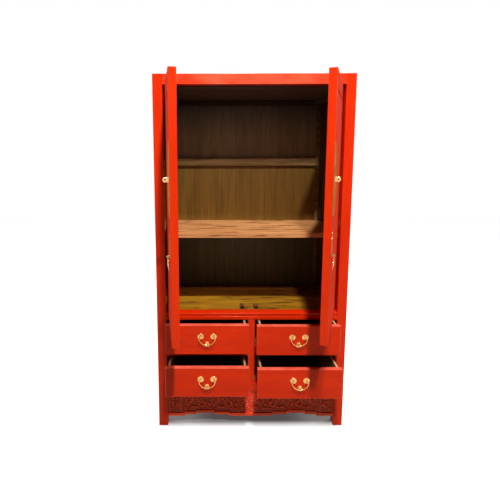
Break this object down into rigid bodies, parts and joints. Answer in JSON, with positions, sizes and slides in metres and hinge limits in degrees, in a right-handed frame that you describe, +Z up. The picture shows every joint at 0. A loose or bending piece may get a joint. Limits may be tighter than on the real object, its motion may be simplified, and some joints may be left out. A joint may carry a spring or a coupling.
{
  "type": "chinese wedding cabinet",
  "caption": "Tall red lacquered wardrobe cabinet with swinging doors over bail-handled drawers, a fixed shelf and a scalloped apron between square legs.",
  "frame": {"origin": "on the ground, in the middle of the rectangle the cabinet covers with its doors and drawers as stored, open", "axes": "+X to the right seen from the front, +Y from the front to the back, +Z up"},
  "size_m": [1.016, 0.9104, 1.892],
  "materials": {
    "red_lacquer": "polished red-orange lacquer",
    "raw_wood": "bare, dull, aged brown",
    "shelf_wood": "bare, waxed tan",
    "drawer_wood": "bare, light",
    "brass": "polished"
  },
  "bodies": {
    "carcass": {"front_left_post": "red_lacquer", "front_right_post": "red_lacquer", "back_left_post": "red_lacquer", "back_right_post": "red_lacquer", "top_front_rail": "red_lacquer", "mid_front_rail": "red_lacquer", "bottom_front_rail": "red_lacquer", "centre_stile": "red_lacquer", "drawer_rails": "red_lacquer", "side_rails": "red_lacquer", "side_panels": "red_lacquer", "back_rails": "raw_wood", "back_boards": "raw_wood", "top_panel": "red_lacquer", "ceiling_boards": "raw_wood", "compartment_floor": "shelf_wood", "middle_shelf": "shelf_wood", "cleats": "raw_wood", "drawer_runners": "raw_wood", "apron": "red_lacquer", "door_catches": "raw_wood"},
    "left_door": {"left_hinge_stile": "red_lacquer", "left_meeting_stile": "red_lacquer", "left_door_rails": "red_lacquer", "left_door_panel": "red_lacquer", "left_lock_plate": "brass", "left_staple": "brass", "left_pull_plate": "brass", "left_strike": "brass"},
    "left_pull": {"left_drop_pull": "brass"},
    "right_door": {"right_hinge_stile": "red_lacquer", "right_meeting_stile": "red_lacquer", "right_door_rails": "red_lacquer", "right_door_panel": "red_lacquer", "right_lock_plate": "brass", "right_staple": "brass", "right_pull_plate": "brass", "right_strike": "brass"},
    "right_pull": {"right_drop_pull": "brass"},
    "upper_left_drawer": {"upper_left_drawer_front": "red_lacquer", "upper_left_drawer_box": "drawer_wood", "upper_left_drawer_bottom": "drawer_wood", "upper_left_pull_roses": "brass"},
    "upper_left_handle": {"upper_left_bail": "brass"},
    "upper_right_drawer": {"upper_right_drawer_front": "red_lacquer", "upper_right_drawer_box": "drawer_wood", "upper_right_drawer_bottom": "drawer_wood", "upper_right_pull_roses": "brass"},
    "upper_right_handle": {"upper_right_bail": "brass"},
    "lower_left_drawer": {"lower_left_drawer_front": "red_lacquer", "lower_left_drawer_box": "drawer_wood", "lower_left_drawer_bottom": "drawer_wood", "lower_left_pull_roses": "brass"},
    "lower_left_handle": {"lower_left_bail": "brass"},
    "lower_right_drawer": {"lower_right_drawer_front": "red_lacquer", "lower_right_drawer_box": "drawer_wood", "lower_right_drawer_bottom": "drawer_wood", "lower_right_pull_roses": "brass"},
    "lower_right_handle": {"lower_right_bail": "brass"}
  },
  "joints": [
    {"name": "left_door_hinge", "type": "hinge", "parent": "carcass", "child": "left_door", "pos_m": [-0.4315, -0.02762, 1.25], "axis": [0, 0, 1], "range_deg": [-23.6, 81.4]},
    {"name": "right_door_hinge", "type": "hinge", "parent": "carcass", "child": "right_door", "pos_m": [0.4315, -0.02762, 1.25], "axis": [0, 0, 1], "range_deg": [-69.3, 35.7]},
    {"name": "left_pull_swing", "type": "hinge", "parent": "left_door", "child": "left_pull", "pos_m": [-0.40091, -0.42653, 1.06], "axis": [-0.1495, 0.9888, 0], "range_deg": [0, 90]},
    {"name": "right_pull_swing", "type": "hinge", "parent": "right_door", "child": "right_pull", "pos_m": [0.31797, -0.41125, 1.06], "axis": [-0.3535, -0.9354, 0], "range_deg": [0, 90]},
    {"name": "upper_left_slide", "type": "slide", "parent": "carcass", "child": "upper_left_drawer", "axis": [0, -1, 0], "range_m": [-0.066, 0.274]},
    {"name": "upper_left_bail_swing", "type": "hinge", "parent": "upper_left_drawer", "child": "upper_left_handle", "pos_m": [-0.23825, -0.13162, 0.55225], "axis": [-1, 0, 0], "range_deg": [0, 90]},
    {"name": "upper_right_slide", "type": "slide", "parent": "carcass", "child": "upper_right_drawer", "axis": [0, -1, 0], "range_m": [-0.076, 0.264]},
    {"name": "upper_right_bail_swing", "type": "hinge", "parent": "upper_right_drawer", "child": "upper_right_handle", "pos_m": [0.23825, -0.14162, 0.55225], "axis": [-1, 0, 0], "range_deg": [0, 90]},
    {"name": "lower_left_slide", "type": "slide", "parent": "carcass", "child": "lower_left_drawer", "axis": [0, -1, 0], "range_m": [-0.116, 0.224]},
    {"name": "lower_left_bail_swing", "type": "hinge", "parent": "lower_left_drawer", "child": "lower_left_handle", "pos_m": [-0.23825, -0.18162, 0.34325], "axis": [-1, 0, 0], "range_deg": [0, 90]},
    {"name": "lower_right_slide", "type": "slide", "parent": "carcass", "child": "lower_right_drawer", "axis": [0, -1, 0], "range_m": [-0.131, 0.209]},
    {"name": "lower_right_bail_swing", "type": "hinge", "parent": "lower_right_drawer", "child": "lower_right_handle", "pos_m": [0.23825, -0.19662, 0.34325], "axis": [-1, 0, 0], "range_deg": [0, 90]}
  ]
}
